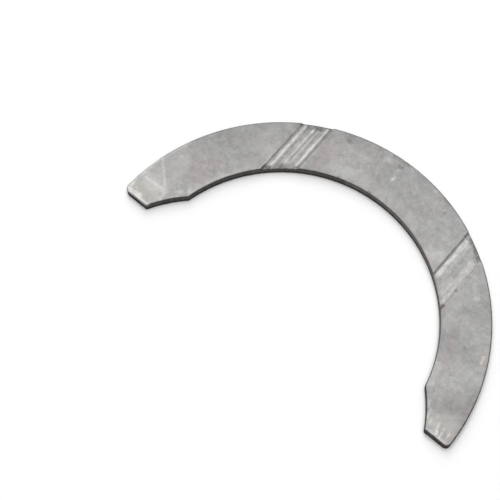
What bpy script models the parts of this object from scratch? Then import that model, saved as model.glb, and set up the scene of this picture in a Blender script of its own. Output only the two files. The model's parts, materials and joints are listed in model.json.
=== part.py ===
"""Crankshaft thrust washer: one half ring of a flat pair, blanked from lined steel strip.

Metres, +Z up. The back face lies on z = 0 and the thrust face, with its two oil grooves, looks up.
The half ring is symmetric about x = 0 and its two end faces look along -Y. The origin is under the
middle of the washer's box, so the shaft's axis stands half the outer radius away along -Y.
"""

import math

import bmesh
import bpy

# The ring
BORE_RADIUS = 0.02935
RADIAL_WIDTH = 0.00965
THICKNESS = 0.0024

# The ends, where the bore opens out so that the tips stand clear of the shaft
RELIEF_START_ANGLE = math.radians(13.0)  # above the parting line, where the relief leaves the bore
RELIEF_AT_END = 0.00425  # how far outside the bore radius the relief meets the end face
RELIEF_RADIUS = 0.0290
RELIEF_CORNER_ROUND = 0.0005
TIP_ROUND = 0.00035
END_CORNER_ROUND = 0.0008

# The rims, a quarter round along both edges of the blanked wall
FACE_RIM_ROUND = 0.00025
BACK_RIM_ROUND = 0.00015
RIM_STEPS = 3
LEAST_CORNER_IN_RIM = 0.00005  # radius that a corner keeps inside the rim round

# The oil grooves, straight across the ring and parallel to the line of symmetry
GROOVE_ANGLE = math.radians(34.0)  # from the line of symmetry, at the ring's middle radius
GROOVE_WIDTH = 0.00575
GROOVE_DEPTH = 0.0005
GROOVE_FLANK_RUN = 0.0005  # how far each flank leans over the groove's depth
GROOVE_PASSES = 3  # shallow hollows side by side that the cutting tool left in the floor
PASS_CUSP = 0.00006  # height of the cusp between two hollows
PASS_STEPS = 6
CUTTER_CLEARANCE = 0.002  # how far a cutter stands past the surfaces that it cuts through

# Facets
CHORD_ERROR = 0.000005

# Look
STEEL_COLOUR = (0.44, 0.43, 0.42, 1.0)
STEEL_ROUGHNESS = 0.45

OUTER_RADIUS = BORE_RADIUS + RADIAL_WIDTH
MIDDLE_RADIUS = BORE_RADIUS + RADIAL_WIDTH / 2
SHAFT_AXIS_Y = -OUTER_RADIUS / 2


def direction(start, end):
    """Angle of the line from one point to another."""
    return math.atan2(end[1] - start[1], end[0] - start[0])


def circles_meet(first, first_radius, second, second_radius, side):
    """Point where two circles meet. Side 1 is left of the line between the centres, side -1 right."""
    apart = math.dist(first, second)
    along = (apart**2 + first_radius**2 - second_radius**2) / (2 * apart)
    aside = side * math.sqrt(first_radius**2 - along**2)
    way_x = (second[0] - first[0]) / apart
    way_y = (second[1] - first[1]) / apart
    return (first[0] + along * way_x - aside * way_y, first[1] + along * way_y + aside * way_x)


def corner_radius(wanted):
    """Radius of a corner seen from above, kept larger than the rim round that runs along it."""
    return max(wanted, max(FACE_RIM_ROUND, BACK_RIM_ROUND) + LEAST_CORNER_IN_RIM)


def right_half_arcs():
    """The right half of the outline as arcs, from the middle of the bore round to the top of the ring.

    Each arc is its centre, its radius, 1 where the metal is outside it and -1 where it is inside, its
    first and last angle, and whether its last point is needed because no arc goes on from there.
    Distances are from the shaft's axis. Along each arc the metal lies to the left.
    """
    axis = (0.0, 0.0)
    relief_corner = (
        BORE_RADIUS * math.cos(RELIEF_START_ANGLE),
        BORE_RADIUS * math.sin(RELIEF_START_ANGLE),
    )
    relief_end = (BORE_RADIUS + RELIEF_AT_END, 0.0)
    relief = circles_meet(relief_corner, RELIEF_RADIUS, relief_end, RELIEF_RADIUS, -1)

    relief_round = corner_radius(RELIEF_CORNER_ROUND)
    tip_round = corner_radius(TIP_ROUND)
    end_round = corner_radius(END_CORNER_ROUND)
    inner_corner = circles_meet(axis, BORE_RADIUS + relief_round, relief, RELIEF_RADIUS + relief_round, 1)
    tip_reach = math.sqrt((RELIEF_RADIUS + tip_round) ** 2 - (tip_round - relief[1]) ** 2)
    tip = (relief[0] + tip_reach, tip_round)
    outer_corner = (math.sqrt((OUTER_RADIUS - end_round) ** 2 - end_round**2), end_round)

    down = math.radians(270)
    up = math.radians(90)
    full_turn = math.radians(360)
    return [
        (axis, BORE_RADIUS, 1, up, direction(axis, inner_corner), False),
        (
            inner_corner,
            relief_round,
            -1,
            full_turn + direction(inner_corner, axis),
            full_turn + direction(inner_corner, relief),
            False,
        ),
        (relief, RELIEF_RADIUS, 1, direction(relief, inner_corner), direction(relief, tip), False),
        (tip, tip_round, -1, full_turn + direction(tip, relief), down, True),
        (outer_corner, end_round, -1, down, full_turn + direction(axis, outer_corner), False),
        (axis, OUTER_RADIUS, -1, direction(axis, outer_corner), up, True),
    ]


def outline(inset):
    """The outline moved into the metal by inset, anticlockwise. Every inset gives as many points."""
    half = []
    for centre, radius, metal, first, last, ends_here in right_half_arcs():
        widest_step = 2 * math.acos(1 - CHORD_ERROR / radius)
        steps = math.ceil(abs(last - first) / widest_step)
        inset_radius = radius + metal * inset
        for step in range(steps + 1 if ends_here else steps):
            angle = first + (last - first) * step / steps
            x = centre[0] + inset_radius * math.cos(angle)
            y = centre[1] + inset_radius * math.sin(angle)
            half.append((x, y + SHAFT_AXIS_Y))
    return half + [(-x, y) for x, y in reversed(half[1:-1])]


def wall_levels():
    """Inset and height of each ring of the wall, from the back face's rim up to the thrust face's."""
    levels = []
    for step in range(RIM_STEPS + 1):
        turn = math.radians(90) * step / RIM_STEPS
        levels.append((BACK_RIM_ROUND * (1 - math.sin(turn)), BACK_RIM_ROUND * (1 - math.cos(turn))))
    for step in range(RIM_STEPS + 1):
        turn = math.radians(90) * step / RIM_STEPS
        inset = FACE_RIM_ROUND * (1 - math.cos(turn))
        levels.append((inset, THICKNESS - FACE_RIM_ROUND * (1 - math.sin(turn))))
    return levels


def blank_mesh():
    """The plain half ring with rounded rims: rings of the outline, skinned, and closed by two flat faces."""
    model = bmesh.new()
    rings = []
    for inset, height in wall_levels():
        rings.append([model.verts.new((x, y, height)) for x, y in outline(inset)])
    for lower, upper in zip(rings, rings[1:]):
        for index, corner in enumerate(lower):
            after = (index + 1) % len(lower)
            side = model.faces.new((corner, lower[after], upper[after], upper[index]))
            side.smooth = True
    model.faces.new(reversed(rings[0]))
    model.faces.new(rings[-1])
    mesh = bpy.data.meshes.new("thrust_washer")
    model.to_mesh(mesh)
    model.free()
    return mesh


def groove_section():
    """A groove's section as the cutter fills it: two leaning flanks and a floor of shallow hollows.

    Points are the distance from the groove's middle and the height, running along the floor towards +X.
    """
    lean = GROOVE_FLANK_RUN / GROOVE_DEPTH
    top_half = GROOVE_WIDTH / 2 + lean * CUTTER_CLEARANCE
    foot_half = GROOVE_WIDTH / 2 - lean * (GROOVE_DEPTH - PASS_CUSP)
    points = [(-top_half, THICKNESS + CUTTER_CLEARANCE)]
    count = GROOVE_PASSES * PASS_STEPS
    for index in range(count + 1):
        across = (index % PASS_STEPS) / PASS_STEPS
        rise = PASS_CUSP * (2 * across - 1) ** 2
        points.append((foot_half * (2 * index / count - 1), THICKNESS - GROOVE_DEPTH + rise))
    points.append((top_half, THICKNESS + CUTTER_CLEARANCE))
    return points


def groove_cutter(name, middle_x):
    """The groove's section pushed along Y from before the end faces to past the outer rim."""
    near = SHAFT_AXIS_Y - CUTTER_CLEARANCE
    length = OUTER_RADIUS + 2 * CUTTER_CLEARANCE
    model = bmesh.new()
    corners = [model.verts.new((middle_x + x, near, z)) for x, z in groove_section()]
    end = model.faces.new(corners)
    pushed = bmesh.ops.extrude_face_region(model, geom=[end])
    moved = [item for item in pushed["geom"] if isinstance(item, bmesh.types.BMVert)]
    bmesh.ops.translate(model, verts=moved, vec=(0.0, length, 0.0))
    bmesh.ops.recalc_face_normals(model, faces=model.faces)
    mesh = bpy.data.meshes.new(name)
    model.to_mesh(mesh)
    model.free()
    cutter = bpy.data.objects.new(name, mesh)
    bpy.context.collection.objects.link(cutter)
    cutter.hide_render = True
    cutter.display_type = "WIRE"
    return cutter


def lined_steel():
    """Dull grey of the lined and blanked steel."""
    material = bpy.data.materials.new("lined_steel")
    material.use_nodes = True
    shader = material.node_tree.nodes["Principled BSDF"]
    shader.inputs["Base Color"].default_value = STEEL_COLOUR
    shader.inputs["Metallic"].default_value = 1.0
    shader.inputs["Roughness"].default_value = STEEL_ROUGHNESS
    return material


def build():
    """Clears the scene and makes the washer with its two grooves."""
    for item in list(bpy.data.objects):
        bpy.data.objects.remove(item)
    washer = bpy.data.objects.new("thrust_washer", blank_mesh())
    bpy.context.collection.objects.link(washer)
    washer.data.materials.append(lined_steel())
    groove_x = MIDDLE_RADIUS * math.sin(GROOVE_ANGLE)
    for side, middle_x in (("left", -groove_x), ("right", groove_x)):
        cut = washer.modifiers.new(f"{side} oil groove", "BOOLEAN")
        cut.operation = "DIFFERENCE"
        cut.solver = "EXACT"
        cut.object = groove_cutter(f"{side}_groove_cutter", middle_x)


build()
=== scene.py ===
"""Looks of a crankshaft thrust washer: half a flat ring of lined steel with two oil grooves.

Metres, +Z up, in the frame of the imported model. The back face lies on z = 0 and the grooved thrust face
looks up. The shaft's axis is parallel to Z and crosses the line between the two ends. The washer is one
closed surface: stations run from the left end to the right end, and each crosses the ring from the bore
to the outer edge.
"""

import json
import math

import bpy
import numpy as np
from mathutils import Matrix, Vector


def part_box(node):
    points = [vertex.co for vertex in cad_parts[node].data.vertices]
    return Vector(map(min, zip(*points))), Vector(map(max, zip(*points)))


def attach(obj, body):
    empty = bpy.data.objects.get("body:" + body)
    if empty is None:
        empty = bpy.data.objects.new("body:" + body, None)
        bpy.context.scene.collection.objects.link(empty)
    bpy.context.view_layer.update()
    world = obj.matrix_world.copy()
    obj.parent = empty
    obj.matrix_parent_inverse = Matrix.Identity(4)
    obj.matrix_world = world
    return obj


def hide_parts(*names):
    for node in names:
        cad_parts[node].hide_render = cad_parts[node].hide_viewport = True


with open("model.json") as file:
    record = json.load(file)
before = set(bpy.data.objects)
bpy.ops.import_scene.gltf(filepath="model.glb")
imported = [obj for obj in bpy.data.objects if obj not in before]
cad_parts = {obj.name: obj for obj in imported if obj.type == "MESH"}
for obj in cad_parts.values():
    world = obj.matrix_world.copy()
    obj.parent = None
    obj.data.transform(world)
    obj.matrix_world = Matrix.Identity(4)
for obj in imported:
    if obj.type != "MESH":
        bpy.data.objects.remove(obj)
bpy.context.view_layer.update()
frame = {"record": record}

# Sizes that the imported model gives
WASHER = "thrust_washer"
LOWEST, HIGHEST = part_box(WASHER)
MOUNTS = {mount["name"]: mount["pos_m"] for mount in frame["record"]["mounts"]}
OUTER_RADIUS = HIGHEST.y - LOWEST.y
THICKNESS = HIGHEST.z - LOWEST.z
SHAFT_AXIS_Y = LOWEST.y
MIDDLE_RADIUS = MOUNTS["thrust_face"][1] - SHAFT_AXIS_Y
BORE_RADIUS = 2 * MIDDLE_RADIUS - OUTER_RADIUS

# The relieved ends
RELIEF_START_ANGLE = math.radians(13.0)  # above the parting line, where the relief leaves the bore
RELIEF_AT_END = 0.00425  # how far outside the bore radius the relief meets the end face
RELIEF_RADIUS = 0.0290
RELIEF_CORNER_ROUND = 0.0005
TIP_ROUND = 0.00035
END_CORNER_ROUND = 0.0010

# The oil grooves, parallel to the line of symmetry
GROOVE_ANGLE = math.radians(34.0)  # from the line of symmetry, at the ring's middle radius
GROOVE_X = MIDDLE_RADIUS * math.sin(GROOVE_ANGLE)
GROOVE_WIDTH = 0.00575
GROOVE_DEPTH = 0.0005
GROOVE_FLANK_RUN = 0.0005
GROOVE_PASSES = 3  # shallow hollows side by side that the cutting tool left in the floor
PASS_CUSP = 0.00004  # height of the cusp between two hollows
GROOVE_MARGIN = 0.00025  # face on each side of a groove that keeps the groove's straight lines
TOOL_LINE_HEIGHT = 0.000004
TOOL_LINE_STRETCH = (1.0, 0.04)  # the lines are drawn out along y by one over the second factor
LIP_HEIGHT = 0.000012
LIP_WIDTH = 0.0003

# Ridges that the cutting tool left in the groove floors: place across the groove, half width, height
LEFT_RIDGES = ((-0.00188, 0.00022, 0.00004), (-0.00024, 0.00018, 0.00002), (0.00184, 0.00018, 0.00004))
RIGHT_RIDGES = ((-0.0019, 0.00030, 0.00004), (0.0012, 0.00022, 0.00002), (0.0018, 0.00020, 0.00002))

# The blanked wall, from the face down: rolled rim, smooth sheared band, torn band, small back rim
FACE_RIM_ROUND = 0.00025
BACK_RIM_ROUND = 0.00015
SHEAR_FOOT = 0.00105  # height at which the smooth band ends and the torn band starts
TORN_INSET = 0.00005
TORN_ROUGHNESS = 0.000016
BACK_RIM_TEARING = 0.3  # share of the torn band's roughness on the rim below it
WALL_WAVE = 0.000006
FACE_WAVE = 0.000003
BACK_WAVE = 0.000001

# Ripples: seed of the draw, shortest and longest wave
FACE_RIPPLE = (5, 0.002, 0.009)
BACK_RIPPLE = (6, 0.002, 0.009)
WALL_RIPPLE = (7, 0.0008, 0.004)
TEAR_RIPPLE = (8, 0.0005, 0.0014)
TOOL_LINE_RIPPLE = (11, 0.0003, 0.0009)
MARK_RIPPLE = (21, 0.0006, 0.0030)
RIPPLE_WAVES = 24

# How the edges of the marks wander
MARK_WAVER = 0.3  # share of a mark's feather by which its edge wanders
GROOVE_MARK_WAVER = 0.14  # the same for the straighter lines in the grooves
MOST_WAVER = 0.12  # the most that an edge wanders, in millimetres as the marks
GROOVE_MARK_STRETCH = (1.0, 0.3)  # the waver in the grooves is drawn out along y as the tool lines are

# Facets
STATIONS_MIDDLE = 64  # from the line of symmetry to a groove
STATIONS_GROOVE = 80
STATIONS_LIMB = 100  # from a groove to the relief
STATIONS_RELIEF_CORNER = 6
STATIONS_RELIEF = 36
STATIONS_TIP = 8
BESIDE_CORNER_SHARE = 0.03  # of the outer edge below the grooves, which faces the relief's corner
CELLS_ACROSS = 56
FACE_RIM_STEPS = 6
BACK_RIM_STEPS = 4
SHEAR_STEPS = 4
TORN_STEPS = 5

# Materials, in the order of the mesh's slots
LINED_FACE, GROOVE_FLOOR, BLANKED_WALL, STEEL_BACK = range(4)

# Camera, as found from the photograph's perspective
AIM = Vector((-0.012768, -0.013569, THICKNESS))
CAMERA_AZIMUTH = math.radians(40.012)
CAMERA_ELEVATION = math.radians(70.535)
CAMERA_ROLL = math.radians(0.211)
CAMERA_DISTANCE = 0.328654
LENS_MM = 126.007
SENSOR_MM = 36.0


# Marks on the thrust face, in millimetres as seen from above: x and y of the start, x and y of the end,
# width, feather, and strength. Blush, bloom and tarnish are pinkish, bluish and yellowish clouds. Residue
# and shade is dark residue, and painted shade in its wide faint marks, along the outer edge and in the
# grooves;
# fresh metal and highlight is bright bare metal, and painted light and highlights in its wide faint marks
# and in the grooves; and rubbed is where the edge is worn bright. Those in the grooves are mostly lines
# along the tool's way.
FACE_MARKS = {
    "blush": (
        (-34.6, -3.6, -31.6, -7.6, 2.0, 1.2, 0.22),
        (-29.6, -4.6, -28.6, -9.8, 1.6, 1.2, 0.24),
        (-24.4, 3.6, -23.2, 5.6, 1.2, 1.0, 0.26),
        (-24.6, -1.0, -23.4, 1.6, 1.0, 0.9, 0.30),
        (-14.8, 8.4, -13.4, 14.6, 1.8, 1.2, 0.22),
        (-11.6, 9.0, -13.6, 7.6, 0.8, 0.8, 0.22),
        (-12.9, 15.7, -12.4, 15.5, 0.4, 0.6, 0.32),
        (-6.2, 10.8, -4.8, 11.6, 0.6, 0.9, 0.28),
        (-1.3, 10.9, -0.8, 11.1, 0.5, 0.7, 0.28),
        (-36.6, -12.6, -34.4, -14.2, 1.2, 1.0, 0.26),
        (-33.4, -10.4, -32.4, -13.2, 0.8, 0.8, 0.28),
        (24.0, 0.8, 24.9, -0.8, 0.4, 0.6, 0.22),
        (26.3, -2.6, 27.4, -4.4, 0.8, 0.7, 0.34),
        (28.0, -5.8, 29.2, -7.8, 0.4, 0.7, 0.38),
        (33.3, -1.2, 34.5, -3.6, 0.4, 0.6, 0.50),
        (37.0, -10.2, 37.4, -12.0, 0.7, 0.7, 0.38),
        (36.8, -14.6, 37.8, -18.4, 1.2, 1.0, 0.30),
        (13.8, 7.4, 15.0, 6.4, 0.5, 0.6, 0.25),
        (22.2, 1.4, 22.8, 0.8, 0.7, 0.6, 0.30),
    ),
    "bloom": (
        (-12.8, 16.2, -11.0, 17.0, 0.8, 0.8, 0.42),
        (-27.4, 7.4, -24.4, 10.0, 0.6, 0.7, 0.42),
        (-34.4, -3.4, -34.0, -2.2, 0.6, 0.7, 0.45),
        (-36.8, -9.2, -36.6, -8.2, 0.6, 0.6, 0.40),
        (-38.2, -16.4, -38.0, -15.4, 0.5, 0.5, 0.45),
        (-6.4, 18.2, -4.4, 18.5, 0.5, 0.6, 0.32),
        (-1.0, 17.0, -0.2, 17.6, 1.0, 0.9, 0.32),
        (3.0, 18.2, 4.2, 18.0, 0.8, 0.7, 0.25),
        (10.8, 17.1, 13.6, 16.0, 1.0, 0.8, 0.30),
        (22.8, 11.2, 25.2, 9.0, 0.6, 0.7, 0.34),
        (24.8, -2.6, 26.6, -5.6, 0.5, 0.6, 0.36),
        (36.6, -5.0, 37.0, -6.4, 0.4, 0.5, 0.40),
    ),
    "tarnish": (
        (-36.2, -17.0, -33.8, -16.4, 1.6, 1.4, 0.34),
        (-35.8, -18.3, -35.5, -18.3, 0.5, 0.6, 0.40),
        (34.2, -17.0, 35.8, -16.6, 1.2, 1.0, 0.18),
    ),
    "residue_and_shade": (
        # Small dark specks and lines are residue; the wide faint marks are painted shade where less light
        # falls
        (-4.0, 19.0, -0.8, 19.1, 0.3, 0.5, 0.32),
        (-12.8, 15.9, -12.5, 15.7, 0.15, 0.30, 0.26),
        (-13.0, 16.6, -12.2, 16.9, 0.20, 0.40, 0.24),
        (-9.5, 8.45, -9.3, 8.55, 0.16, 0.24, 0.50),
        (-3.0, 9.85, -2.7, 9.95, 0.16, 0.26, 0.60),
        (-8.1, 8.8, -7.8, 8.9, 0.14, 0.24, 0.40),
        (1.6, 18.9, 4.4, 18.8, 0.3, 0.5, 0.22),
        (8.6, 18.3, 10.4, 17.9, 0.2, 0.4, 0.32),
        (-6.9, 18.2, -6.5, 18.4, 0.3, 0.4, 0.24),
        (-10.4, 17.8, -9.8, 18.0, 0.3, 0.4, 0.22),
        (-1.5, 17.9, -1.1, 18.1, 0.3, 0.5, 0.34),
        (10.45, 15.78, 10.60, 15.84, 0.25, 0.36, 0.45),
        (11.5, 12.5, 11.8, 12.2, 0.2, 0.7, 0.12),
        (13.2, 9.4, 13.9, 8.8, 0.3, 0.5, 0.12),
        (26.6, 3.6, 27.6, 2.8, 0.8, 1.0, 0.10),
        (25.8, -2.4, 26.8, -1.4, 0.6, 0.8, 0.12),
        (29.50, -2.50, 29.75, -2.65, 0.2, 0.36, 0.28),
        (27.7, -4.8, 28.9, -5.5, 0.2, 0.5, 0.18),
        (31.0, -8.2, 31.4, -7.9, 0.2, 0.5, 0.14),
        (33.9, -9.9, 34.1, -9.9, 0.1, 0.4, 0.22),
        (34.4, -12.6, 36.6, -13.6, 1.0, 1.4, 0.08),
        (32.0, -3.8, 32.6, -4.8, 0.8, 1.2, 0.08),
        (36.9, -8.0, 37.9, -13.5, 0.8, 1.2, 0.16),
        (-2.6, 15.2, -4.4, 15.0, 3.0, 2.0, 0.05),
        (-9.0, 17.4, -14.4, 15.4, 1.4, 1.4, 0.10),
        (33.2, -9.4, 35.2, -13.0, 3.0, 2.0, 0.08),
        (-23.8, 8.8, -31.0, 1.0, 2.4, 2.0, 0.16),
        (5.0, 17.1, -5.0, 17.1, 1.6, 1.6, 0.07),
        # painted shade: a thin dark line along the outer edge of the right half
        (38.95, -17.46, 38.28, -12.06, 0.10, 0.35, 0.20),
        (38.28, -12.06, 36.88, -6.80, 0.10, 0.35, 0.20),
        (36.88, -6.80, 34.75, -1.79, 0.10, 0.35, 0.20),
        (34.75, -1.79, 31.95, 2.87, 0.20, 0.40, 0.24),
        (31.95, 2.87, 28.52, 7.10, 0.10, 0.35, 0.20),
        (28.52, 7.10, 24.54, 10.81, 0.10, 0.35, 0.12),
    ),
    "rust": (
        (-29.8, 0.6, -29.6, 0.8, 0.1, 0.3, 0.28),
        (-29.0, -1.9, -28.8, -1.9, 0.1, 0.4, 0.16),
        (-28.5, -5.5, -28.3, -5.7, 0.2, 0.5, 0.18),
        (-31.3, -6.0, -31.3, -6.1, 0.2, 0.4, 0.16),
        (-12.6, 15.4, -12.2, 15.7, 0.2, 0.4, 0.34),
    ),
    "fresh_metal_and_highlight": (
        # Narrow strokes are scratches and bare metal; the wide faint marks are painted light where more
        # light falls
        (-36.5, -16.5, -34.5, -17.5, 3.0, 2.6, 0.20),
        (-37.6, -10.2, -33.6, -14.0, 0.16, 0.30, 0.38),
        (-33.6, -14.6, -33.0, -15.2, 0.5, 0.7, 0.28),
        (-37.3, -15.2, -33.9, -14.8, 0.16, 0.32, 0.34),
        (-32.6, -15.9, -32.2, -17.0, 0.3, 0.5, 0.34),
        (-38.5, -18.9, -36.0, -18.9, 0.5, 0.4, 0.75),
        (-36.0, -19.0, -33.9, -19.1, 0.2, 0.4, 0.45),
        (-38.5, -17.4, -38.3, -18.4, 0.2, 0.3, 0.45),
        (-37.4, -17.8, -36.6, -18.6, 0.2, 0.4, 0.25),
        (-29.4, -11.4, -28.9, -11.9, 0.3, 0.5, 0.20),
        (-31.0, -13.6, -30.4, -13.2, 0.2, 0.5, 0.20),
        (-1.32, 14.5, -1.30, 14.7, 0.24, 0.30, 0.52),
        (-1.20, 15.1, -1.10, 15.4, 0.20, 0.36, 0.30),
        (-1.60, 16.1, -1.50, 17.0, 0.20, 0.50, 0.16),
        (-4.20, 9.8, -4.25, 16.8, 0.10, 0.40, 0.06),
        (-4.6, 17.4, -3.6, 17.4, 0.40, 0.60, 0.16),
        (2.6, 12.4, 2.9, 11.2, 0.20, 0.50, 0.10),
        (6.4, 18.3, 6.5, 18.2, 0.20, 0.40, 0.25),
        (25.6, 6.1, 25.9, 6.4, 0.20, 0.50, 0.25),
        (-23.5, -0.6, -26.0, -5.0, 0.30, 0.60, 0.10),
        (-26.0, -5.0, -29.0, -12.0, 0.50, 0.70, 0.16),
        (-11.6, 9.2, -8.4, 10.5, 1.0, 1.4, 0.10),
        (-8.4, 10.8, -5.2, 11.4, 1.0, 1.2, 0.10),
        (-35.0, -9.6, -35.4, -13.6, 4.0, 2.0, 0.20),
        (-24.4, 6.0, -25.4, 3.6, 2.4, 1.6, 0.06),
        (24.0, -0.2, 25.4, -1.4, 0.8, 1.0, 0.10),
        (13.2, 7.8, 15.4, 8.4, 1.2, 1.2, 0.14),
        (5.2, 11.0, 8.6, 10.2, 0.8, 1.2, 0.08),
        (18.2, 11.0, 20.4, 9.6, 1.6, 1.6, 0.07),
        (14.6, 7.4, 15.6, 13.6, 1.8, 1.6, 0.04),
        (22.4, 3.4, 25.2, 8.0, 2.4, 2.0, 0.04),
        (28.4, -7.0, 34.2, -8.4, 3.0, 2.4, 0.06),
        (28.0, -8.4, 28.9, -12.0, 0.7, 0.9, 0.18),
        (33.50, -1.7, 33.85, -3.1, 0.08, 0.28, 0.46),
        (31.1, -14.4, 31.4, -15.6, 0.10, 0.26, 0.30),
        (32.2, -15.7, 32.5, -17.2, 0.08, 0.24, 0.34),
        (33.4, -16.9, 33.7, -18.0, 0.08, 0.24, 0.28),
        (35.0, -16.7, 35.4, -18.7, 0.06, 0.22, 0.42),
        (35.6, -18.6, 35.8, -18.8, 0.30, 0.36, 0.50),
        (36.25, -17.1, 36.65, -18.9, 0.06, 0.24, 0.46),
        (37.55, -17.1, 37.90, -18.8, 0.06, 0.24, 0.46),
        (34.0, -15.9, 37.5, -13.4, 0.10, 0.60, 0.10),
        (34.0, -19.05, 38.0, -19.05, 0.20, 0.30, 0.25),
        (34.0, -17.6, 36.0, -16.2, 2.0, 2.0, 0.15),
        (-22.9, 1.1, -25.5, -2.3, 1.4, 1.2, 0.12),
        (-22.7, 2.8, -22.9, 4.6, 0.8, 0.8, 0.14),
        (5.3, 10.9, -5.3, 10.9, 1.2, 1.4, 0.10),
        (30.4, 1.0, 31.2, -2.4, 6.0, 2.4, 0.07),
    ),
    "rubbed": (
        (-35.8, -5.6, -37.9, -11.5, 2.4, 1.2, 0.40),
        (-38.2, -12.5, -38.8, -19.0, 2.4, 1.2, 0.62),
        (-37.5, -19.3, -34.0, -19.3, 1.0, 0.8, 0.55),
    ),
}
GROOVE_MARKS = {
    "blush": (
        (-20.8, 3.4, -20.4, 6.8, 1.2, 1.0, 0.24),
        (-17.4, 5.6, -17.2, 8.0, 0.8, 0.8, 0.18),
    ),
    # Mostly painted shade: dark along the flanks, where each groove runs out at its ends and along the
    # outer rims; a few are pits
    "residue_and_shade": (
        (-21.55, 0.7, -21.05, 1.25, 0.70, 0.50, 0.92),
        (-16.80, 5.2, -16.82, 14.9, 0.14, 0.22, 0.36),
        (-18.90, 5.4, -18.90, 13.8, 0.10, 0.26, 0.12),
        (-20.34, 3.6, -20.38, 13.0, 0.20, 0.30, 0.20),
        (-21.6, 12.3, -19.4, 13.8, 0.30, 0.50, 0.30),
        (-19.2, 13.9, -16.8, 15.1, 0.36, 0.60, 0.55),
        (-21.6, 11.8, -17.0, 14.2, 1.0, 1.4, 0.26),
        (-17.8, 12.4, -16.7, 13.2, 0.8, 1.2, 0.20),
        (-21.40, 2.0, -21.40, 12.0, 0.10, 0.26, 0.12),
        (-21.4, 1.3, -19.2, 3.4, 0.50, 0.90, 0.42),
        (-19.2, 3.4, -16.9, 5.1, 0.40, 0.80, 0.40),
        (16.45, 14.8, 16.50, 15.5, 0.30, 0.30, 0.60),
        (17.6, 14.9, 19.2, 14.1, 0.20, 0.40, 0.55),
        (19.2, 14.0, 21.4, 12.6, 0.26, 0.40, 0.60),
        (16.4, 4.7, 16.6, 4.9, 0.30, 0.40, 0.40),
        (17.0, 4.8, 19.2, 3.0, 0.10, 0.40, 0.20),
        (21.50, 0.5, 21.62, 1.2, 0.40, 0.45, 0.62),
        (18.80, 7.4, 18.80, 13.8, 0.20, 0.30, 0.12),
        (-18.30, 9.6, -18.30, 11.0, 1.00, 0.50, 0.14),
        (21.60, 5.0, 21.70, 5.2, 0.16, 0.30, 0.42),
        (20.20, 7.6, 20.25, 7.7, 0.14, 0.25, 0.40),
        (18.50, 6.6, 18.60, 6.7, 0.16, 0.28, 0.40),
        (19.00, 7.6, 19.40, 8.2, 0.20, 0.40, 0.24),
    ),
    "fresh_metal_and_highlight": (
        # Partly freshly cut metal along the tool's way and partly painted highlights on the flanks and
        # ridges
        (-16.46, 5.2, -16.46, 15.6, 0.14, 0.24, 0.46),
        (-17.28, 5.4, -17.28, 14.9, 0.16, 0.28, 0.66),
        (-18.48, 5.6, -18.48, 13.6, 0.16, 0.28, 0.24),
        (-19.34, 4.4, -19.34, 13.4, 0.14, 0.26, 0.44),
        (-19.32, 12.6, -19.32, 12.9, 0.26, 0.26, 0.50),
        (-20.98, 2.5, -20.98, 12.8, 0.20, 0.30, 0.64),
        (-21.74, 2.0, -21.74, 12.0, 0.20, 0.30, 0.52),
        (16.60, 4.8, 16.60, 15.6, 0.10, 0.22, 0.40),
        (17.20, 5.4, 17.20, 14.2, 0.36, 0.32, 0.66),
        (17.95, 5.8, 17.95, 13.6, 0.30, 0.50, 0.24),
        (20.40, 3.0, 20.40, 11.4, 0.40, 0.40, 0.26),
        (21.04, 1.8, 21.04, 11.4, 0.24, 0.36, 0.32),
        (21.74, 1.8, 21.74, 4.8, 0.32, 0.14, 0.66),
        (21.74, 5.5, 21.74, 8.3, 0.32, 0.14, 0.72),
        (21.74, 8.9, 21.74, 12.6, 0.32, 0.14, 0.72),
        (19.60, 3.0, 19.40, 6.4, 0.70, 0.70, 0.18),
    ),
}
# Painted light on the bore's wall, lighter over the right half of the bore and fading over the arch's top,
# in millimetres as the marks above
PAINTED_WALL_LIGHT_MARKS = {
    "wall_painted_light": (
        (27.58, -9.46, 24.33, -3.09, 0.6, 1.2, 1.0),
        (24.33, -3.09, 19.64, 2.31, 0.6, 1.2, 1.0),
        (19.64, 2.31, 13.78, 6.41, 0.6, 1.2, 1.0),
        (13.78, 6.41, 7.10, 8.98, 0.6, 1.2, 0.9),
        (7.10, 8.98, 0.00, 9.85, 0.6, 1.2, 0.7),
        (0.00, 9.85, -7.10, 8.98, 0.6, 1.2, 0.5),
    ),
}
MILLIMETRE = 0.001


# Outline


def direction(start, end):
    """Angle of the line from one point to another."""
    return math.atan2(end[1] - start[1], end[0] - start[0])


def circles_meet(first, first_radius, second, second_radius, side):
    """Point where two circles meet. Side 1 is left of the line between the centres, side -1 right."""
    apart = math.dist(first, second)
    along = (apart**2 + first_radius**2 - second_radius**2) / (2 * apart)
    aside = side * math.sqrt(first_radius**2 - along**2)
    way_x = (second[0] - first[0]) / apart
    way_y = (second[1] - first[1]) / apart
    return (first[0] + along * way_x - aside * way_y, first[1] + along * way_y + aside * way_x)


SHAFT_AXIS = (0.0, 0.0)
RELIEF_CORNER = (
    BORE_RADIUS * math.cos(RELIEF_START_ANGLE),
    BORE_RADIUS * math.sin(RELIEF_START_ANGLE),
)
RELIEF_CENTRE = circles_meet(
    RELIEF_CORNER, RELIEF_RADIUS, (BORE_RADIUS + RELIEF_AT_END, 0.0), RELIEF_RADIUS, -1
)


def arc(centre, radius, metal, angles):
    """One row for each angle: centre x and y, radius, metal side and angle.

    The metal side is 1 where the metal is outside the arc and -1 where it is inside.
    """
    rows = np.empty((len(angles), 5))
    rows[:, 0:4] = (*centre, radius, metal)
    rows[:, 4] = angles
    return rows


def spread(first, last, count):
    """Count equal steps from first, without last."""
    return np.linspace(first, last, count, endpoint=False)


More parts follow.
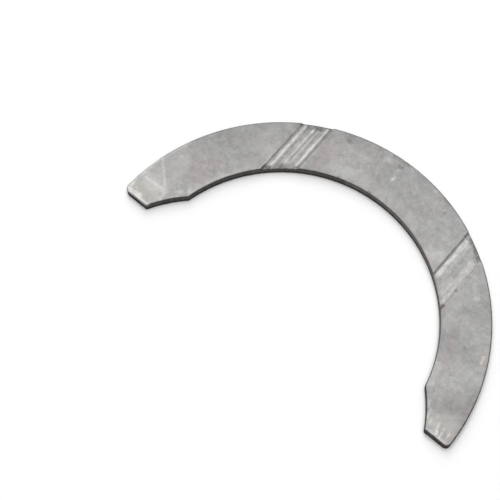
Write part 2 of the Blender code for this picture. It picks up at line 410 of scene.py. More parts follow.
def right_half_sides():
    """The bore side and the outer side of the right half, station by station from the middle to the end.

    The bore side runs along the bore, round the relief's corner, along the relief and round the tip. The
    outer side runs along the outer circle and round the end's corner. Inside the grooves both sides stop
    at the same x, so that the stations there run along the groove.
    """
    corner = circles_meet(
        SHAFT_AXIS,
        BORE_RADIUS + RELIEF_CORNER_ROUND,
        RELIEF_CENTRE,
        RELIEF_RADIUS + RELIEF_CORNER_ROUND,
        1,
    )
    tip_reach = math.sqrt((RELIEF_RADIUS + TIP_ROUND) ** 2 - (TIP_ROUND - RELIEF_CENTRE[1]) ** 2)
    tip = (RELIEF_CENTRE[0] + tip_reach, TIP_ROUND)
    end_reach = math.sqrt((OUTER_RADIUS - END_CORNER_ROUND) ** 2 - END_CORNER_ROUND**2)
    end_corner = (end_reach, END_CORNER_ROUND)

    half_zone = GROOVE_WIDTH / 2 + GROOVE_MARGIN
    before = GROOVE_X - half_zone
    after = GROOVE_X + half_zone
    groove_lines = spread(before, after, STATIONS_GROOVE)
    top = math.radians(90)
    down = math.radians(-90)
    relief_from = direction(SHAFT_AXIS, corner)
    relief_to = direction(RELIEF_CENTRE, tip)
    outer_end = direction(SHAFT_AXIS, end_corner)
    beside_corner = relief_from + (outer_end - relief_from) * BESIDE_CORNER_SHARE
    corner_turn = (direction(corner, SHAFT_AXIS), direction(corner, RELIEF_CENTRE))
    relief_turn = (direction(RELIEF_CENTRE, corner), relief_to)
    tip_turn = (direction(tip, RELIEF_CENTRE), down)

    def ring_arcs(radius, metal, radius_on_face):
        """The arcs beside the middle, the groove and the limb, with stations at the groove's lines."""
        to_groove = math.acos(before / radius_on_face)
        past_groove = math.acos(after / radius_on_face)
        return [
            arc(SHAFT_AXIS, radius, metal, spread(top, to_groove, STATIONS_MIDDLE)),
            arc(SHAFT_AXIS, radius, metal, np.arccos(groove_lines / radius_on_face)),
            arc(SHAFT_AXIS, radius, metal, spread(past_groove, relief_from, STATIONS_LIMB)),
        ]

    bore_side = ring_arcs(BORE_RADIUS, 1, BORE_RADIUS + FACE_RIM_ROUND) + [
        arc(corner, RELIEF_CORNER_ROUND, -1, spread(*corner_turn, STATIONS_RELIEF_CORNER)),
        arc(RELIEF_CENTRE, RELIEF_RADIUS, 1, spread(*relief_turn, STATIONS_RELIEF)),
        arc(tip, TIP_ROUND, -1, np.linspace(*tip_turn, STATIONS_TIP + 1)),
    ]
    outer_side = ring_arcs(OUTER_RADIUS, -1, OUTER_RADIUS - FACE_RIM_ROUND) + [
        arc(SHAFT_AXIS, OUTER_RADIUS, -1, spread(relief_from, beside_corner, STATIONS_RELIEF_CORNER)),
        arc(SHAFT_AXIS, OUTER_RADIUS, -1, spread(beside_corner, outer_end, STATIONS_RELIEF)),
        arc(end_corner, END_CORNER_ROUND, -1, np.linspace(outer_end, down, STATIONS_TIP + 1)),
    ]
    return np.concatenate(bore_side), np.concatenate(outer_side)


def both_halves(half):
    """The whole side from the left end to the right end: the right half's mirror image, then itself."""
    mirrored = half[:0:-1].copy()
    mirrored[:, 0] *= -1
    mirrored[:, 4] = math.pi - mirrored[:, 4]
    return np.concatenate([mirrored, half])


def patch(sides, inset):
    """x and y of the whole ring as a grid of stations by places across, moved into the metal by inset.

    A side's point is its centre + (radius + metal side times inset) in the direction of its angle. The
    places across are equal shares of the straight line from the bore side's point to the outer side's.
    """
    bore_side, outer_side = (
        np.stack(
            [
                side[:, 0] + (side[:, 2] + side[:, 3] * inset) * np.cos(side[:, 4]),
                side[:, 1] + (side[:, 2] + side[:, 3] * inset) * np.sin(side[:, 4]) + SHAFT_AXIS_Y,
            ],
            -1,
        )
        for side in sides
    )
    share = np.linspace(0.0, 1.0, CELLS_ACROSS + 1)[None, :, None]
    return bore_side[:, None] * (1 - share) + outer_side[:, None] * share


def border(grid):
    """A grid's border as one loop, anticlockwise from above, from the right end's outer corner."""
    return np.concatenate([grid[::-1, -1], grid[0, -2:0:-1], grid[:, 0], grid[-1, 1:-1]])


# Surfaces


def ripple(points, seed, shortest, longest, count=RIPPLE_WAVES):
    """A smooth random number for each point, with a spread of about 1.

    It is the sum of count sine waves. The direction, length and phase of each are drawn from the seed,
    the lengths between shortest and longest.
    """
    draw = np.random.default_rng(seed)
    ways = draw.normal(size=(count, points.shape[-1]))
    ways /= np.linalg.norm(ways, axis=1, keepdims=True)
    lengths = np.exp(draw.uniform(math.log(shortest), math.log(longest), count))
    phases = draw.uniform(0.0, math.tau, count)
    waves = np.sin(math.tau * points @ (ways / lengths[:, None]).T + phases)
    return waves.sum(-1) * math.sqrt(2 / count)


def smooth_step(value):
    """0 below 0, 1 above 1, and value squared times (3 - 2 value) between."""
    held = np.clip(value, 0.0, 1.0)
    return held * held * (3 - 2 * held)


def groove_depth(points):
    """Depth of the oil grooves below the thrust face at each point.

    Across is x less the middle of the groove on that side. The depth rises over each flank as a smooth
    step. From it are taken the cusps between the tool's passes, PASS_CUSP times (2 share - 1) squared
    over each pass, the raised ridges, each a bell of exp(-(distance / half width) squared), and fine
    lines that run along the groove. A low bell just outside each flank is the lip.
    """
    x = points[..., 0]
    across = x - np.sign(x) * GROOVE_X
    inside = (GROOVE_WIDTH / 2 - np.abs(across)) / GROOVE_FLANK_RUN
    cut = smooth_step(inside)
    floor_half = GROOVE_WIDTH / 2 - GROOVE_FLANK_RUN
    share = np.clip((across / floor_half + 1) / 2, 0.0, 1.0) * GROOVE_PASSES % 1.0
    rise = PASS_CUSP * (2 * share - 1) ** 2
    for ridges, on_side in ((LEFT_RIDGES, x < 0), (RIGHT_RIDGES, x > 0)):
        for place, half_width, height in ridges:
            rise = rise + on_side * height * np.exp(-(((across - place) / half_width) ** 2))
    rise = rise + TOOL_LINE_HEIGHT * ripple(points * TOOL_LINE_STRETCH, *TOOL_LINE_RIPPLE)
    lip = np.exp(-(((np.abs(across) - GROOVE_WIDTH / 2 - LIP_WIDTH / 3) / (LIP_WIDTH / 2)) ** 2))
    return cut * (GROOVE_DEPTH - rise) - (1 - cut) * LIP_HEIGHT * lip


def face_height(points):
    """Height of the thrust face: the thickness less the grooves, with a faint waviness one spread lower."""
    return THICKNESS - groove_depth(points) + FACE_WAVE * (ripple(points, *FACE_RIPPLE) - 1)


def back_height(points):
    """Height of the back face: a faint waviness three spreads up, so that it starts about at z = 0."""
    return BACK_WAVE * (ripple(points, *BACK_RIPPLE) + 3)


def wall_profile():
    """The wall's section, from the back rim up: inset, height, share of tearing, share of the face rim.

    Both rims are quarter rounds, inset = r (1 - sin turn) and height = r (1 - cos turn) at the back and
    the same with the two exchanged at the face. The torn band lies TORN_INSET inside the smooth band
    above it. The share of the face rim is its turn over a quarter turn.
    """
    quarter = math.pi / 2
    back_turn = np.linspace(0.0, quarter, BACK_RIM_STEPS + 1)[1:]
    face_turn = np.linspace(0.0, quarter, FACE_RIM_STEPS + 1)[1:-1]
    back_inset = BACK_RIM_ROUND * (1 - np.sin(back_turn)) + TORN_INSET * np.sin(back_turn)
    torn = np.linspace(BACK_RIM_ROUND, SHEAR_FOOT - TORN_INSET, TORN_STEPS + 1)[1:]
    sheared = np.linspace(SHEAR_FOOT + TORN_INSET, THICKNESS - FACE_RIM_ROUND, SHEAR_STEPS + 1)
    face_rim_height = THICKNESS - FACE_RIM_ROUND * (1 - np.sin(face_turn))
    bands = (
        (back_inset, BACK_RIM_ROUND * (1 - np.cos(back_turn)), BACK_RIM_TEARING, 0.0),
        (TORN_INSET, torn, 1.0, 0.0),
        (0.0, sheared, 0.0, 0.0),
        (FACE_RIM_ROUND * (1 - np.cos(face_turn)), face_rim_height, 0.0, face_turn / quarter),
    )
    return np.concatenate([np.stack(np.broadcast_arrays(*band), -1) for band in bands])


def wall_rings(sides, profile):
    """The wall's points, one loop for each row of the profile.

    Each loop is the outline moved in by the row's inset plus two ripples, one all over the wall and a
    finer one on the torn band. Above the foot of the smooth band the rows' heights are drawn together
    where a groove lowers the face: foot + (height - foot) (face - foot) / (thickness - foot).
    """
    outline = border(patch(sides, 0.0))
    inward = (border(patch(sides, FACE_RIM_ROUND)) - outline) / FACE_RIM_ROUND
    inset, height, torn = (column[:, None] for column in profile.T[:3])
    flat = outline + inward * inset[..., None]
    place = np.concatenate([flat, np.broadcast_to(height[..., None], (*flat.shape[:2], 1))], -1)
    wave = WALL_WAVE * ripple(place, *WALL_RIPPLE)
    tear = TORN_ROUGHNESS * torn * ripple(place, *TEAR_RIPPLE)
    flat = flat + inward * (np.abs(wave) + tear)[..., None]
    face = face_height(flat)
    stretch = (face - SHEAR_FOOT) / (THICKNESS - SHEAR_FOOT)
    level = np.where(height > SHEAR_FOOT, SHEAR_FOOT + (height - SHEAR_FOOT) * stretch, height)
    return np.concatenate([flat, level[..., None]], -1)


def distance_from_edge(points):
    """How far inside the outline each point lies.

    It is the least of: outer radius - r, r - bore radius, the distances outside the two relief circles,
    and the height above the end faces.
    """
    x = np.abs(points[..., 0])
    y = points[..., 1] - SHAFT_AXIS_Y
    radius = np.hypot(x, y)
    relief = np.hypot(x - RELIEF_CENTRE[0], y - RELIEF_CENTRE[1]) - RELIEF_RADIUS
    return np.minimum.reduce([OUTER_RADIUS - radius, radius - BORE_RADIUS, relief, y])


def soft_marks(points, marks, waver_share=MARK_WAVER, drawn_out=(1.0, 1.0)):
    """How strongly the marks cover each point, seen from above: 1 - the product of (1 - each cover).

    A mark is a soft line, or a spot where its ends meet. Distance is the length of
    p - start - t (end - start), where t is dot(p - start, end - start) over dot(end - start, end - start),
    held between 0 and 1. The cover is the strength up to half the width, and fades out over the feather
    as a smooth step. A ripple moves the mark's edge in and out by a share of the feather, within
    MOST_WAVER. Its waves are drawn out by one over the two factors.
    """
    flat = points[:, :2]
    waver = ripple(flat * drawn_out, *MARK_RIPPLE)
    bare = np.ones(len(points))
    for start_x, start_y, end_x, end_y, width, feather, strength in marks:
        start = np.array((start_x, start_y)) * MILLIMETRE
        way = np.array((end_x, end_y)) * MILLIMETRE - start
        share = np.clip((flat - start) @ way / (way @ way), 0.0, 1.0)
        distance = np.linalg.norm(flat - start - share[:, None] * way, axis=1)
        edge = width / 2 - min(waver_share * feather, MOST_WAVER) * waver
        bare *= 1 - strength * smooth_step(1 - (distance / MILLIMETRE - edge) / feather)
    return 1 - bare


def quads(first, second, third, fourth):
    """Quads from four arrays of corner numbers."""
    return np.stack([first, second, third, fourth], -1).reshape(-1, 4)


def grid_quads(numbers):
    """The cells of a grid of corner numbers, looking up."""
    return quads(numbers[:-1, :-1], numbers[1:, :-1], numbers[1:, 1:], numbers[:-1, 1:])


def face_finish(points, polygons):
    """The slot of each polygon of the thrust face and its rim: the groove's near a groove."""
    middle_x = np.abs(points[polygons, 0].mean(-1))
    in_groove = np.abs(middle_x - GROOVE_X) < GROOVE_WIDTH / 2 + GROOVE_MARGIN
    return np.where(in_groove, GROOVE_FLOOR, LINED_FACE)


def add_values(mesh, name, values):
    """Stores one number for each of the mesh's points."""
    attribute = mesh.attributes.new(name, "FLOAT", "POINT")
    attribute.data.foreach_set("value", values.astype(np.float32))


def washer_mesh():
    """The whole washer: the thrust face, the back face and the wall between their borders."""
    sides = tuple(both_halves(half) for half in right_half_sides())
    profile = wall_profile()
    face = patch(sides, FACE_RIM_ROUND)
    back = patch(sides, BACK_RIM_ROUND)
    wall = wall_rings(sides, profile)
    face_points = np.concatenate([face, face_height(face)[..., None]], -1)
    back_points = np.concatenate([back, back_height(back)[..., None]], -1)

    face_numbers = np.arange(face[..., 0].size).reshape(face.shape[:2])
    back_numbers = face_numbers + face_numbers.size
    wall_numbers = np.arange(wall[..., 0].size).reshape(wall.shape[:2]) + 2 * face_numbers.size
    rings = np.concatenate([border(back_numbers)[None], wall_numbers, border(face_numbers)[None]])
    after = np.roll(rings, -1, axis=1)
    on_face_rim = np.concatenate([profile[:, 3], [1.0]]) > 0

    face_quads = grid_quads(face_numbers)
    back_quads = grid_quads(back_numbers)[:, ::-1]
    wall_quads = quads(rings[:-1], after[:-1], after[1:], rings[1:])
    points = np.concatenate([face_points.reshape(-1, 3), back_points.reshape(-1, 3), wall.reshape(-1, 3)])
    polygons = np.concatenate([face_quads, back_quads, wall_quads])

    mesh = bpy.data.meshes.new("washer_body")
    mesh.from_pydata(points, [], polygons.tolist())
    on_rim = np.repeat(on_face_rim, rings.shape[1])
    slots = np.concatenate(
        [
            face_finish(points, face_quads),
            np.full(len(back_quads), STEEL_BACK),
            np.where(on_rim, face_finish(points, wall_quads), BLANKED_WALL),
        ]
    )
    mesh.polygons.foreach_set("material_index", slots.astype(np.int32))
    mesh.polygons.foreach_set("use_smooth", np.ones(len(polygons), bool))

    rim_share = np.broadcast_to(profile[:, 3, None], wall.shape[:2]).ravel()
    on_face = np.ones(face_numbers.size)
    add_values(mesh, "edge_distance", distance_from_edge(points))
    add_values(mesh, "rim_share", np.concatenate([on_face, np.zeros(back_numbers.size), rim_share]))
    for name, marks in FACE_MARKS.items():
        bare_face = 1 - soft_marks(points, marks)
        marks_in_groove = GROOVE_MARKS.get(name, ())
        bare_groove = 1 - soft_marks(points, marks_in_groove, GROOVE_MARK_WAVER, GROOVE_MARK_STRETCH)
        add_values(mesh, name, 1 - bare_face * bare_groove)
    # painted light on the bore's wall
    for name, marks in PAINTED_WALL_LIGHT_MARKS.items():
        add_values(mesh, name, soft_marks(points, marks))
    mesh.update()
    mesh.validate()
    return mesh


# Shader nodes


def add_node(tree, kind, inputs=(), **settings):
    """Adds a node, sets its properties, and sets or links its inputs, given by name or number."""
    node = tree.nodes.new(kind)
    for name, value in settings.items():
        setattr(node, name, value)
    for key, value in dict(inputs).items():
        if isinstance(value, bpy.types.NodeSocket):
            tree.links.new(value, node.inputs[key])
        else:
            node.inputs[key].default_value = value
    return node


def maths(tree, operation, *values):
    """One number worked out from others."""
    return add_node(tree, "ShaderNodeMath", enumerate(values), operation=operation).outputs[0]


def scaled(tree, vector, factor):
    """The vector times a number."""
    inputs = {0: vector, "Scale": factor}
    return add_node(tree, "ShaderNodeVectorMath", inputs, operation="SCALE").outputs[0]


def mix_colour(tree, share, first, second, way="MIX"):
    """The first colour turned towards the second by share."""
    inputs = {"Factor": share, 6: first, 7: second}
    return add_node(tree, "ShaderNodeMix", inputs, data_type="RGBA", blend_type=way).outputs[2]


def ramp(tree, value, start, end, from_value=0.0, to_value=1.0):
    """A smooth change from from_value to to_value while value goes from start to end."""
    inputs = {0: value, 1: start, 2: end, 3: from_value, 4: to_value}
    kind = "ShaderNodeMapRange"
    return add_node(tree, kind, inputs, interpolation_type="SMOOTHSTEP", clamp=True).outputs[0]


def noise(tree, position, size, detail=2.0, roughness=0.5):
    """Noise between 0 and 1 whose largest patches are about size across."""
    inputs = {"Vector": position, "Scale": 1 / size, "Detail": detail, "Roughness": roughness}
    return add_node(tree, "ShaderNodeTexNoise", inputs).outputs[0]


def around_zero(tree, value):
    """A number between 0 and 1 moved to between -0.5 and 0.5."""
    return maths(tree, "SUBTRACT", value, 0.5)


def stretched(tree, position, scale, turn=0.0):
    """Position turned about Z and then scaled, for a pattern drawn out along one way."""
    inputs = {"Vector": position, "Rotation": (0.0, 0.0, turn), "Scale": scale}
    return add_node(tree, "ShaderNodeMapping", inputs).outputs[0]


def value_of(tree, name):
    """The number that the mesh stores under that name."""
    return add_node(tree, "ShaderNodeAttribute", attribute_name=name).outputs["Fac"]


def new_group(name, inputs, outputs):
    """A shader node group. Inputs are name: default, outputs are name: socket kind."""
    tree = bpy.data.node_groups.new(name, "ShaderNodeTree")
    kinds = {float: "NodeSocketFloat", 3: "NodeSocketVector", 4: "NodeSocketColor"}
    for label, default in inputs.items():
        kind = kinds[float if isinstance(default, float) else len(default)]
        socket = tree.interface.new_socket(label, in_out="INPUT", socket_type=kind)
        socket.default_value = default
    for label, kind in outputs.items():
        tree.interface.new_socket(label, in_out="OUTPUT", socket_type=kind)
    given = tree.nodes.new("NodeGroupInput").outputs
    wanted = tree.nodes.new("NodeGroupOutput").inputs
    return tree, given, wanted


def use_group(tree, group, **inputs):
    """Places a group. An input's name has _ for each space and any capitals left out."""
    node = tree.nodes.new("ShaderNodeGroup")
    node.node_tree = group
    names = {socket.name.lower().replace(" ", "_"): socket for socket in node.inputs}
    for key, value in inputs.items():
        if isinstance(value, bpy.types.NodeSocket):
            tree.links.new(value, names[key])
        else:
            names[key].default_value = value
    return node.outputs


# Sizes of the patterns in the metal, across their largest patches
TINT_PATCH = 0.006
CLOUD = 0.009
GRAIN = 0.0013
HAIRLINE = 0.00012  # width of a hairline scratch
HAIRLINE_PATCH = 0.004
WEAR_BREAK = 0.0012
RIM_BREAK = 0.0005
MARK_BLOTCH = 0.0014
TOOL_LINE_BREAK = 0.0005
TOOL_STREAK = 0.0003
TEAR_EDGE = 0.0016
SCORE = 0.00025
TOOTH = 0.0003

# How far they are drawn out: one over each factor
HAIRLINE_STRETCH = (1.0, 0.03, 1.0)
TOOL_BREAK_STRETCH = (1.0, 0.35, 1.0)
TOOL_STREAK_STRETCH = (1.0, 0.05, 1.0)
SCORE_STRETCH = (1.0, 1.0, 0.08)
HAIRLINE_TURNS = (0.35, 1.25, 2.30)  # radians about Z

# How far they stand out of the surface
TOOTH_DEPTH = 0.000004
TOOL_STREAK_DEPTH = 0.000006
SCORE_DEPTH = 0.000008

# Effects that several materials share

NO_PLACE = (0.0, 0.0, 0.0)
GREY = (0.4235, 0.4215, 0.4125, 1.0)
PINKISH_GREY = (0.427, 0.420, 0.412, 1.0)


def mottled_grey_group():
    """Dull grey between two near tints, with broad lighter and darker clouds and a fine grain."""
    inputs = {
        "Position": NO_PLACE,
        "Cool": GREY,
        "Warm": PINKISH_GREY,
        "Cloud Spread": 0.25,
        "Grain Spread": 0.95,
    }
    outputs = {"Color": "NodeSocketColor", "Cloud": "NodeSocketFloat"}
    tree, given, wanted = new_group("mottled grey", inputs, outputs)
    position = given["Position"]
    patches = ramp(tree, noise(tree, position, TINT_PATCH), 0.42, 0.60)
    tint = mix_colour(tree, patches, given["Cool"], given["Warm"])
    cloud = around_zero(tree, noise(tree, position, CLOUD))
    grain = around_zero(tree, noise(tree, position, GRAIN, detail=4.0, roughness=0.88))
    lighter = maths(tree, "MULTIPLY_ADD", cloud, given["Cloud Spread"], 1.0)
    lighter = maths(tree, "MULTIPLY_ADD", grain, given["Grain Spread"], lighter)
    tree.links.new(scaled(tree, tint, lighter), wanted["Color"])
    tree.links.new(cloud, wanted["Cloud"])
    return tree


# Tints of the marks
# bright bare metal, and the colour of painted light and highlights
BARE_METAL_AND_HIGHLIGHT = (0.80, 0.79, 0.775, 1.0)
TINTS = {
    "blush": (0.465, 0.403, 0.405, 1.0),
    "bloom": (0.369, 0.375, 0.402, 1.0),
    "tarnish": (0.527, 0.527, 0.450, 1.0),
    # dark residue, and the colour of painted shade
    "residue_and_shade": (0.106, 0.106, 0.101, 1.0),
    "rust": (0.243, 0.180, 0.170, 1.0),
    "fresh_metal_and_highlight": BARE_METAL_AND_HIGHLIGHT,
    "rubbed": BARE_METAL_AND_HIGHLIGHT,
}


def stains_and_painted_light_group():
    """Turns a colour towards each tint in turn, by that tint's mask times Within: stains and wear, and
    painted shade and light.
    """
    inputs = {"Color": GREY, "Within": 1.0}
    inputs.update({name.capitalize(): 0.0 for name in TINTS})
    tree, given, wanted = new_group("stains_and_painted_light", inputs, {"Color": "NodeSocketColor"})
    colour = given["Color"]
    for name, tint in TINTS.items():
        share = maths(tree, "MULTIPLY", given[name.capitalize()], given["Within"])
        colour = mix_colour(tree, share, colour, tint)
    tree.links.new(colour, wanted["Color"])
    return tree


def fine_scratches_group():
    """Mask of hairline scratches in three directions, gathered in patches."""
    inputs = {"Position": NO_PLACE, "Amount": 0.5}
    tree, given, wanted = new_group("fine scratches", inputs, {"Mask": "NodeSocketFloat"})
    total = None
    for turn in HAIRLINE_TURNS:
        drawn_out = stretched(tree, given["Position"], HAIRLINE_STRETCH, turn)
        lines = noise(tree, drawn_out, HAIRLINE, detail=1.0)
        thin = ramp(tree, lines, 0.66, 0.80)
        total = thin if total is None else maths(tree, "MAXIMUM", total, thin)
    patches = ramp(tree, noise(tree, given["Position"], HAIRLINE_PATCH), 0.45, 0.70)
    mask = maths(tree, "MULTIPLY", total, patches)
    tree.links.new(maths(tree, "MULTIPLY", mask, given["Amount"]), wanted["Mask"])
    return tree


def edge_wear_group():
    """Mask of rubbed edges: 1 at the edge, falling to 0 over the Reach, broken up by noise."""
    inputs = {"Position": NO_PLACE, "Distance": 0.0, "Reach": 0.0004}
    tree, given, wanted = new_group("edge wear", inputs, {"Mask": "NodeSocketFloat"})
    waver = noise(tree, given["Position"], WEAR_BREAK, detail=3.0, roughness=0.6)
    reach = maths(tree, "MULTIPLY", given["Reach"], maths(tree, "MULTIPLY", waver, 2.0))
    tree.links.new(ramp(tree, given["Distance"], 0.0, reach, 1.0, 0.0), wanted["Mask"])
    return tree


# The finishes of the thrust face and the back
FACE_ROUGHNESS = 0.75
BACK_ROUGHNESS = 0.42
CLOUD_IN_ROUGHNESS = 0.3  # how much a cloud changes the roughness of the face
FACE_SCRATCHES = 0.12
BACK_SCRATCHES = 0.3
FACE_WEAR_REACH = 0.0008
BACK_WEAR_REACH = 0.0006
BACK_EDGE_WEAR = 0.4
GROOVE_AND_WALL_GRAIN = 1.3

# The finish of the blanked wall, its tints from the face down
# painted light: the lighter colour of the bore's wall where it catches more light
PAINTED_LIGHT_ON_WALL = (0.238, 0.223, 0.217, 1.0)
SHEARED_STEEL = (0.125, 0.116, 0.112, 1.0)
TORN_STEEL = (0.086, 0.079, 0.076, 1.0)
STEEL_SHEEN = (0.20, 0.19, 0.18, 1.0)
WALL_ROUGHNESS = 0.75
WALL_CLOUDS = 0.5
TEAR_EDGE_WAVER = 0.0006  # how far the upper edge of the torn band goes up and down
TEAR_FADE_ABOVE = 0.0002
TEAR_FADE_BELOW = 0.0003


def with_stains_and_painted_light(tree, groups, position, colour, within):
    """The colour under the stains and the painted shade and light that the mesh stores. Rubbed edges are
    broken up by the edge wear.
    """
    distance = value_of(tree, "edge_distance")
    wear = groups["wear"]
    worn = use_group(tree, wear, position=position, distance=distance, reach=FACE_WEAR_REACH)["Mask"]
    masks = {name: value_of(tree, name) for name in TINTS}
    masks["rubbed"] = maths(tree, "MULTIPLY", masks["rubbed"], worn)
    return use_group(tree, groups["stains_and_painted_light"], color=colour, within=within, **masks)["Color"]


def new_material(name, metallic, roughness):
    """A material with its shader and the object's own coordinates."""
    material = bpy.data.materials.new(name)
    material.use_nodes = True
    tree = material.node_tree
    shader = tree.nodes["Principled BSDF"]
    shader.inputs["Metallic"].default_value = metallic
    shader.inputs["Roughness"].default_value = roughness
    position = tree.nodes.new("ShaderNodeTexCoord").outputs["Object"]
    return material, tree, shader, position


def add_bump(tree, shader, height, depth):
    """Lets the height, between 0 and 1, stand out by depth."""
    bump = add_node(tree, "ShaderNodeBump", {"Height": height, "Distance": depth, "Strength": 1.0})
    tree.links.new(bump.outputs[0], shader.inputs["Normal"])


def smooth_wall(tree):
    """The colour of the wall's smooth band: dark, and lighter where painted light lies on the right of the
    bore.
    """
    return mix_colour(tree, value_of(tree, "wall_painted_light"), SHEARED_STEEL, PAINTED_LIGHT_ON_WALL)


def darkened_rim(tree, position, colour):
    """The colour of the face, turned raggedly into that of the wall down the rim, save where rubbed."""
    breaks = noise(tree, position, RIM_BREAK, detail=3.0, roughness=0.7)
    ragged = ramp(tree, breaks, 0.35, 0.65, from_value=0.40, to_value=0.72)
    dark = ramp(tree, value_of(tree, "rim_share"), 0.95, ragged)
    kept = maths(tree, "SUBTRACT", 1.0, value_of(tree, "rubbed"))
    return mix_colour(tree, maths(tree, "MULTIPLY", dark, kept), colour, smooth_wall(tree))


def lined_face(groups):
    """The thrust face: dull lining with stains, scuffs, painted shade and light, hairline scratches and
    rubbed edges.
    """
    material, tree, shader, position = new_material("lined_face", 1.0, FACE_ROUGHNESS)
    shader.inputs["Specular Tint"].default_value = STEEL_SHEEN
    mottled = use_group(tree, groups["mottled"], position=position)
    breaks = noise(tree, position, MARK_BLOTCH, detail=3.0, roughness=0.7)
    blotches = ramp(tree, breaks, 0.25, 0.60, from_value=0.75, to_value=1.08)
    colour = with_stains_and_painted_light(tree, groups, position, mottled["Color"], blotches)
    scratches = use_group(tree, groups["scratches"], position=position, amount=FACE_SCRATCHES)["Mask"]
    colour = mix_colour(tree, scratches, colour, BARE_METAL_AND_HIGHLIGHT)
    tree.links.new(darkened_rim(tree, position, colour), shader.inputs["Base Color"])
    roughness = maths(tree, "MULTIPLY_ADD", mottled["Cloud"], CLOUD_IN_ROUGHNESS, FACE_ROUGHNESS)
    tree.links.new(roughness, shader.inputs["Roughness"])
    add_bump(tree, shader, noise(tree, position, TOOTH, detail=3.0), TOOTH_DEPTH)
    return material


def groove_floor(groups):
    """The grooves: mottled as the face, with bright lines of fresh metal and painted highlights, and dark
    residue and painted shade, along the tool's way.
    """
    material, tree, shader, position = new_material("groove_floor", 1.0, FACE_ROUGHNESS)
    shader.inputs["Specular Tint"].default_value = STEEL_SHEEN
    grain = GROOVE_AND_WALL_GRAIN
    colour = use_group(tree, groups["mottled"], position=position, grain_spread=grain)["Color"]
    along = stretched(tree, position, TOOL_BREAK_STRETCH)
    breaks = noise(tree, along, TOOL_LINE_BREAK, detail=4.0, roughness=0.8)
    within = ramp(tree, breaks, 0.36, 0.64, from_value=0.45, to_value=1.25)
    colour = with_stains_and_painted_light(tree, groups, position, colour, within)
    drawn_out = stretched(tree, position, TOOL_STREAK_STRETCH)
    streaks = noise(tree, drawn_out, TOOL_STREAK, detail=3.0, roughness=0.6)
    colour = mix_colour(tree, ramp(tree, streaks, 0.5, 0.8, to_value=0.3), colour, BARE_METAL_AND_HIGHLIGHT)
    tree.links.new(darkened_rim(tree, position, colour), shader.inputs["Base Color"])
    add_bump(tree, shader, streaks, TOOL_STREAK_DEPTH)
    return material


def blanked_wall(groups):
    """The wall: dark brownish steel, scored, with painted light on part of the bore above, darker where it
    is torn.
    """
    material, tree, shader, position = new_material("blanked_wall", 1.0, WALL_ROUGHNESS)
    shader.inputs["Specular Tint"].default_value = STEEL_SHEEN
    height = add_node(tree, "ShaderNodeSeparateXYZ", {0: position}).outputs["Z"]
    waver = around_zero(tree, noise(tree, position, TEAR_EDGE))
    level = maths(tree, "MULTIPLY_ADD", waver, TEAR_EDGE_WAVER, height)
    torn = ramp(tree, level, SHEAR_FOOT + TEAR_FADE_ABOVE, SHEAR_FOOT - TEAR_FADE_BELOW)
    base = mix_colour(tree, torn, smooth_wall(tree), TORN_STEEL)
    mottled = use_group(
        tree,
        groups["mottled"],
        position=position,
        cool=base,
        warm=base,
        cloud_spread=WALL_CLOUDS,
        grain_spread=GROOVE_AND_WALL_GRAIN,
    )
    scores = noise(tree, stretched(tree, position, SCORE_STRETCH), SCORE, roughness=0.6)
    whole = maths(tree, "SUBTRACT", 1.0, torn)
    scored = maths(tree, "MULTIPLY", ramp(tree, scores, 0.5, 0.8, to_value=0.15), whole)
    colour = mix_colour(tree, scored, mottled["Color"], BARE_METAL_AND_HIGHLIGHT)
    tree.links.new(colour, shader.inputs["Base Color"])
    add_bump(tree, shader, scores, SCORE_DEPTH)
    return material


def steel_back(groups):
    """The bare steel back: lightly mottled and scratched, with rubbed edges."""
    material, tree, shader, position = new_material("steel_back", 1.0, BACK_ROUGHNESS)
    colour = use_group(tree, groups["mottled"], position=position)["Color"]
    scratches = use_group(tree, groups["scratches"], position=position, amount=BACK_SCRATCHES)["Mask"]
    colour = mix_colour(tree, scratches, colour, BARE_METAL_AND_HIGHLIGHT)
    distance = value_of(tree, "edge_distance")
    wear = groups["wear"]
    rubbed = use_group(tree, wear, position=position, distance=distance, reach=BACK_WEAR_REACH)["Mask"]
    colour = mix_colour(tree, maths(tree, "MULTIPLY", rubbed, BACK_EDGE_WEAR), colour, BARE_METAL_AND_HIGHLIGHT)
    tree.links.new(colour, shader.inputs["Base Color"])
    add_bump(tree, shader, noise(tree, position, TOOTH, detail=3.0), TOOTH_DEPTH)
    return material


def make_washer():
    """The washer in its four finishes."""
    groups = {
        "mottled": mottled_grey_group(),
        "stains_and_painted_light": stains_and_painted_light_group(),
        "scratches": fine_scratches_group(),
        "wear": edge_wear_group(),
    }
    washer = bpy.data.objects.new("washer_body", washer_mesh())
    bpy.context.scene.collection.objects.link(washer)
    for finish in (lined_face, groove_floor, blanked_wall, steel_back):
        washer.data.materials.append(finish(groups))
    return washer


# Stage


FLOOR_HALF = 1.5
FLOOR_GAP = 0.00001
FLOOR_WHITE = (0.92, 0.92, 0.92, 1.0)
FLOOR_ROUGHNESS = 0.9


def make_floor():
    """A plain pale floor just under the washer."""
    half = FLOOR_HALF
    depth = LOWEST.z - FLOOR_GAP
    corners = [(-half, -half, depth), (half, -half, depth), (half, half, depth), (-half, half, depth)]
    mesh = bpy.data.meshes.new("floor")
    mesh.from_pydata(corners, [], [(0, 1, 2, 3)])
    material = bpy.data.materials.new("floor")
    material.use_nodes = True
    shader = material.node_tree.nodes["Principled BSDF"]
    shader.inputs["Base Color"].default_value = FLOOR_WHITE
    shader.inputs["Roughness"].default_value = FLOOR_ROUGHNESS
    shader.inputs["Specular IOR Level"].default_value = 0.0
    mesh.materials.append(material)
    floor = bpy.data.objects.new("floor", mesh)
    bpy.context.scene.collection.objects.link(floor)
    return floor


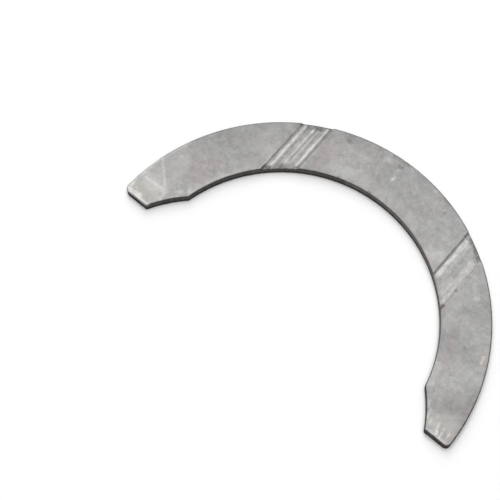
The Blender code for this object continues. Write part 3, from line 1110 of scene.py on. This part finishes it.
def view_axes(azimuth, elevation, roll):
    """Right, up and back of a camera that looks along +Y at azimuth 0."""
    back = Vector(
        (
            math.sin(azimuth) * math.cos(elevation),
            -math.cos(azimuth) * math.cos(elevation),
            math.sin(elevation),
        )
    )
    level = Vector((math.cos(azimuth), math.sin(azimuth), 0.0))
    upright = back.cross(level)
    right = level * math.cos(roll) + upright * math.sin(roll)
    up = upright * math.cos(roll) - level * math.sin(roll)
    return right, up, back


def place_with_axes(item, place, right, up, back):
    """Puts an object at a place with its local axes along right, up and back."""
    turned = Matrix((right, up, back)).transposed().to_4x4()
    item.matrix_world = Matrix.Translation(place) @ turned


def make_camera():
    """The camera that sees the washer as the photograph does."""
    data = bpy.data.cameras.new("camera")
    data.lens = LENS_MM
    data.sensor_width = SENSOR_MM
    camera = bpy.data.objects.new("camera", data)
    bpy.context.scene.collection.objects.link(camera)
    right, up, back = view_axes(CAMERA_AZIMUTH, CAMERA_ELEVATION, CAMERA_ROLL)
    place_with_axes(camera, AIM + back * CAMERA_DISTANCE, right, up, back)
    bpy.context.scene.camera = camera


PANEL_DISTANCE = 0.9
PANEL_SIZE = 0.5
PANELS = (  # name, azimuth and elevation in degrees, power in watts
    ("overhead panel", 0, 89, 5.5),
    ("back panel", 225, 60, 2.05),
    ("low back panel", 225, 30, 0.8),
    ("fill panel", 45, 60, 0.55),
)
SURROUNDINGS_LIGHT = 0.2


def add_soft_light(name, azimuth, elevation, power):
    """A square panel of light that looks at the washer from a direction given in degrees."""
    data = bpy.data.lights.new(name, "AREA")
    data.shape = "SQUARE"
    data.size = PANEL_SIZE
    data.energy = power
    light = bpy.data.objects.new(name, data)
    bpy.context.scene.collection.objects.link(light)
    right, up, back = view_axes(math.radians(azimuth), math.radians(elevation), 0.0)
    place_with_axes(light, back * PANEL_DISTANCE, right, up, back)


def make_studio():
    """Faint pale surroundings, a panel overhead, two behind the washer and a fill beside the camera."""
    world = bpy.data.worlds.new("studio")
    world.use_nodes = True
    background = world.node_tree.nodes["Background"]
    background.inputs["Color"].default_value = (1.0, 1.0, 1.0, 1.0)
    background.inputs["Strength"].default_value = SURROUNDINGS_LIGHT
    bpy.context.scene.world = world
    for panel in PANELS:
        add_soft_light(*panel)
    bpy.context.scene.view_settings.view_transform = "Standard"


make_camera()
make_studio()
make_floor()
washer = make_washer()
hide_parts(WASHER)
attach(washer, "root")
